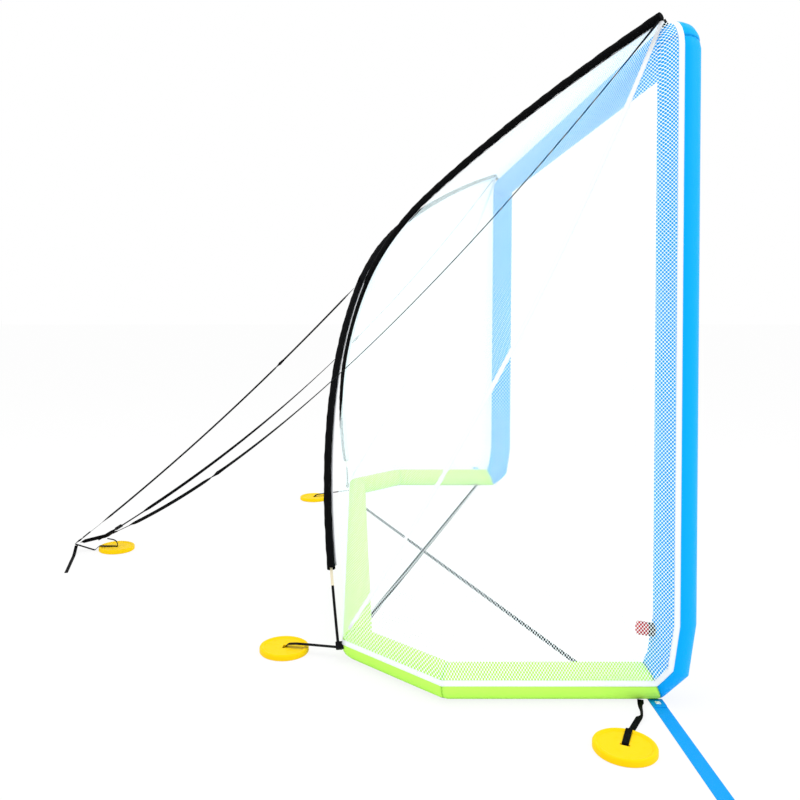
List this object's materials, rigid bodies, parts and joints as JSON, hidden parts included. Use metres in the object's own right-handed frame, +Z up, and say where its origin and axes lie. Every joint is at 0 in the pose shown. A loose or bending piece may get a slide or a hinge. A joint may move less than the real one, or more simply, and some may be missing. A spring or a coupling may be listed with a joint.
{
  "type": "goal net",
  "caption": "Free-standing sports goal with an inflated tube frame, crossed poles that hold out a fine net, guy straps and ground anchor discs.",
  "frame": {"origin": "on the ground under the middle of the whole footprint, the guys' anchor included", "axes": "+X along the goal line, +Y from the mouth to the back of the goal, +Z up"},
  "size_m": [4.0612, 2.3472, 2.0281],
  "materials": {
    "blue_fabric": "glossy coated cloth",
    "green_fabric": "glossy coated cloth",
    "white_tape": "matte",
    "net_mesh": "fine knitted mesh",
    "black_cloth": "matte",
    "glass_fibre": "satin",
    "black_rod": "satin",
    "steel": "brushed",
    "elastic_cord": "braided",
    "blue_webbing": "woven",
    "white_plastic": "satin",
    "yellow_plastic": "satin",
    "red_plastic": "satin",
    "rubber": "matte",
    "black_plastic": "satin",
    "black_webbing": "woven"
  },
  "bodies": {
    "goal": {"anchor_disc_anchor": "yellow_plastic", "anchor_disc_front_left": "yellow_plastic", "anchor_disc_front_right": "yellow_plastic", "anchor_disc_rear_left": "yellow_plastic", "anchor_disc_rear_right": "yellow_plastic", "anchor_loop": "black_webbing", "anchor_ring": "black_plastic", "back_net_left": "net_mesh", "back_net_right": "net_mesh", "base_corner_tube_left": "green_fabric", "base_corner_tube_right": "green_fabric", "base_rear_tube": "green_fabric", "base_side_tube_left": "green_fabric", "base_side_tube_right": "green_fabric", "centre_guy": "black_webbing", "corner_pads": "black_cloth", "crossbar_tape": "white_tape", "crossbar_tube": "blue_fabric", "crossing_tab": "black_cloth", "disc_strap_anchor": "black_webbing", "disc_strap_front_left": "black_webbing", "disc_strap_front_right": "black_webbing", "disc_strap_rear_left": "black_webbing", "disc_strap_rear_right": "black_webbing", "floor_strap_lower": "black_webbing", "floor_strap_upper": "black_webbing", "frame_tape_left": "white_tape", "frame_tape_right": "white_tape", "guy_tail": "black_webbing", "left_guy": "black_webbing", "line_strap_left": "blue_webbing", "line_strap_right": "blue_webbing", "pole_black_ends": "black_rod", "pole_ferrules": "steel", "pole_rods_left": "glass_fibre", "pole_rods_right": "glass_fibre", "pole_sleeve_left": "black_cloth", "pole_sleeve_right": "black_cloth", "pole_socket_left": "black_plastic", "pole_socket_right": "black_plastic", "post_tube_left": "blue_fabric", "post_tube_right": "blue_fabric", "rear_net": "net_mesh", "rear_tape": "white_tape", "right_guy": "black_webbing", "roof_net": "net_mesh", "shock_cords": "elastic_cord", "side_net_left": "net_mesh", "side_net_right": "net_mesh", "side_seam_tapes": "white_tape", "strap_flaps": "blue_webbing", "strap_snaps": "white_plastic", "valve_body": "black_plastic", "valve_spring": "steel"},
    "valve_cap": {"valve_cap": "red_plastic"},
    "valve_poppet": {"valve_poppet": "black_plastic", "valve_washer": "rubber"},
    "left_guy_slider": {"left_guy_slider": "black_plastic"},
    "right_guy_slider": {"right_guy_slider": "black_plastic"},
    "centre_guy_slider": {"centre_guy_slider": "black_plastic"}
  },
  "joints": [
    {"name": "cap_turn", "type": "hinge", "parent": "goal", "child": "valve_cap", "pos_m": [-1.44, -1.01733, 0.20171], "axis": [0, 0.9884, 0.1521], "range_deg": [0, 90]},
    {"name": "poppet_press", "type": "slide", "parent": "goal", "child": "valve_poppet", "axis": [0, 0.9884, 0.1521], "range_m": [-0.005, 0], "stiffness_N_per_m": 250, "springref_m": 0.001, "deforming": ["valve_spring"]},
    {"name": "left_slider_shift", "type": "slide", "parent": "goal", "child": "left_guy_slider", "axis": [-0.5132, -0.7521, 0.4134], "range_m": [0, 0.08]},
    {"name": "right_slider_shift", "type": "slide", "parent": "goal", "child": "right_guy_slider", "axis": [0.5085, -0.7453, 0.4312], "range_m": [0, 0.08]},
    {"name": "centre_slider_shift", "type": "slide", "parent": "goal", "child": "centre_guy_slider", "axis": [0, -0.7827, 0.6224], "range_m": [0, 0.08]}
  ]
}
